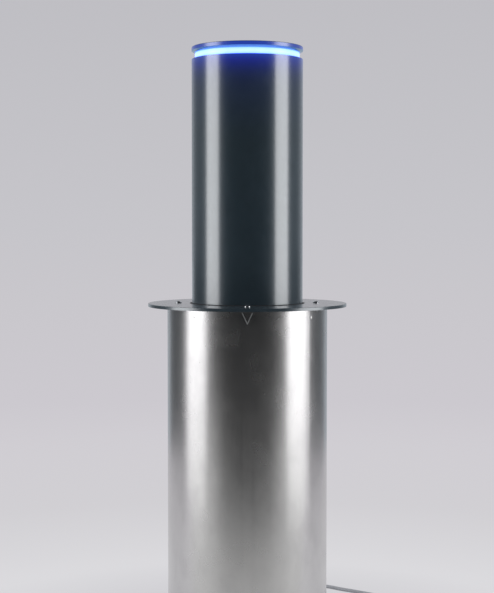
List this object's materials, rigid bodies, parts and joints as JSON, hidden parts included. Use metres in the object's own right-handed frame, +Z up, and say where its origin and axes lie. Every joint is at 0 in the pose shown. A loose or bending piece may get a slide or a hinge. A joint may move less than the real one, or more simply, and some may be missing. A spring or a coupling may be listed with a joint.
{
  "type": "automatic bollard",
  "caption": "Rising steel bollard with a light ring under its cap, lowered by a screw drive into a round casing with a cover flange.",
  "frame": {"origin": "centre of the casing's underside", "axes": "+Z up along the bollard's travel, -Y towards the front, +X to the right seen from the front"},
  "size_m": [0.5639, 0.7173, 1.202],
  "materials": {
    "stainless": "brushed, satin",
    "polished_screws": "polished stainless",
    "zinc_steel": "zinc plated",
    "slate_paint": "satin, fine powder texture",
    "black_paint": "satin",
    "dark_steel": "satin",
    "cast_aluminium": "cast, satin",
    "bright_steel": "bright",
    "chromed_rod": "polished",
    "bronze": "machined",
    "rubber_black": "matte",
    "acetal": "satin",
    "opal": "opal, lit from inside",
    "light_strip": "satin",
    "black_plastic": "matte",
    "sensor_blue": "matte",
    "grey_sheath": "matte"
  },
  "bodies": {
    "casing": {"pit_casing": "stainless", "base_plate": "zinc_steel", "stop_post_1": "zinc_steel", "stop_post_2": "zinc_steel", "stop_post_3": "zinc_steel", "top_ring": "zinc_steel", "cover_flange": "slate_paint", "flange_screws": "polished_screws", "wiper_seal": "rubber_black", "guide_bush": "acetal", "guide_rail_1": "zinc_steel", "guide_rail_2": "zinc_steel", "guide_rail_3": "zinc_steel", "upper_buffer_1": "rubber_black", "upper_buffer_2": "rubber_black", "upper_buffer_3": "rubber_black", "lower_buffer_1": "rubber_black", "lower_buffer_2": "rubber_black", "lower_buffer_3": "rubber_black", "gearbox_mount_1": "rubber_black", "gearbox_mount_2": "rubber_black", "gearbox_mount_3": "rubber_black", "gearbox_mount_4": "rubber_black", "gearbox_base": "cast_aluminium", "gearbox_housing": "cast_aluminium", "gearbox_screws": "bright_steel", "spindle_bush_low": "bronze", "spindle_bush_high": "bronze", "motor_body": "black_paint", "motor_end_cap": "dark_steel", "actuator_tube": "zinc_steel", "rod_gland": "dark_steel", "limit_sensor_low": "sensor_blue", "limit_sensor_high": "sensor_blue", "cable_gland": "black_plastic", "gland_nut": "black_plastic", "drive_cable": "grey_sheath", "drive_connector": "black_plastic", "supply_cable": "grey_sheath", "cable_coil": "grey_sheath", "head_lead": "black_plastic"},
    "bollard": {"bollard_tube": "slate_paint", "tube_collar": "zinc_steel", "guide_shoe_1": "acetal", "guide_shoe_2": "acetal", "guide_shoe_3": "acetal", "shoe_screws": "bright_steel", "head_plate": "zinc_steel", "light_core": "acetal", "led_strip": "light_strip", "light_diffuser": "opal", "head_cap": "slate_paint", "cap_screws": "bright_steel", "push_rod": "chromed_rod", "rod_screws": "bright_steel", "drive_nut": "bronze"},
    "spindle": {"lead_screw": "bright_steel", "spindle_gear": "bright_steel"},
    "rotor": {"motor_shaft": "bright_steel", "motor_pinion": "bright_steel"}
  },
  "joints": [
    {"name": "head_slide", "type": "slide", "parent": "casing", "child": "bollard", "axis": [0, 0, 1], "range_m": [-0.5, 0], "deforming": ["head_lead"]},
    {"name": "spindle_spin", "type": "hinge", "parent": "casing", "child": "spindle", "pos_m": [0, 0, 0.3], "axis": [0, 0, 1], "range_deg": [-5, 9005]},
    {"name": "motor_spin", "type": "hinge", "parent": "casing", "child": "rotor", "pos_m": [0, 0.064, 0.1], "axis": [0, 0, 1], "range_deg": [-23010, 10]}
  ],
  "couplings": [
    {"joint": "spindle_spin", "follows": "head_slide", "rad_per_m": -314.16},
    {"joint": "motor_spin", "follows": "head_slide", "rad_per_m": 802.85}
  ]
}
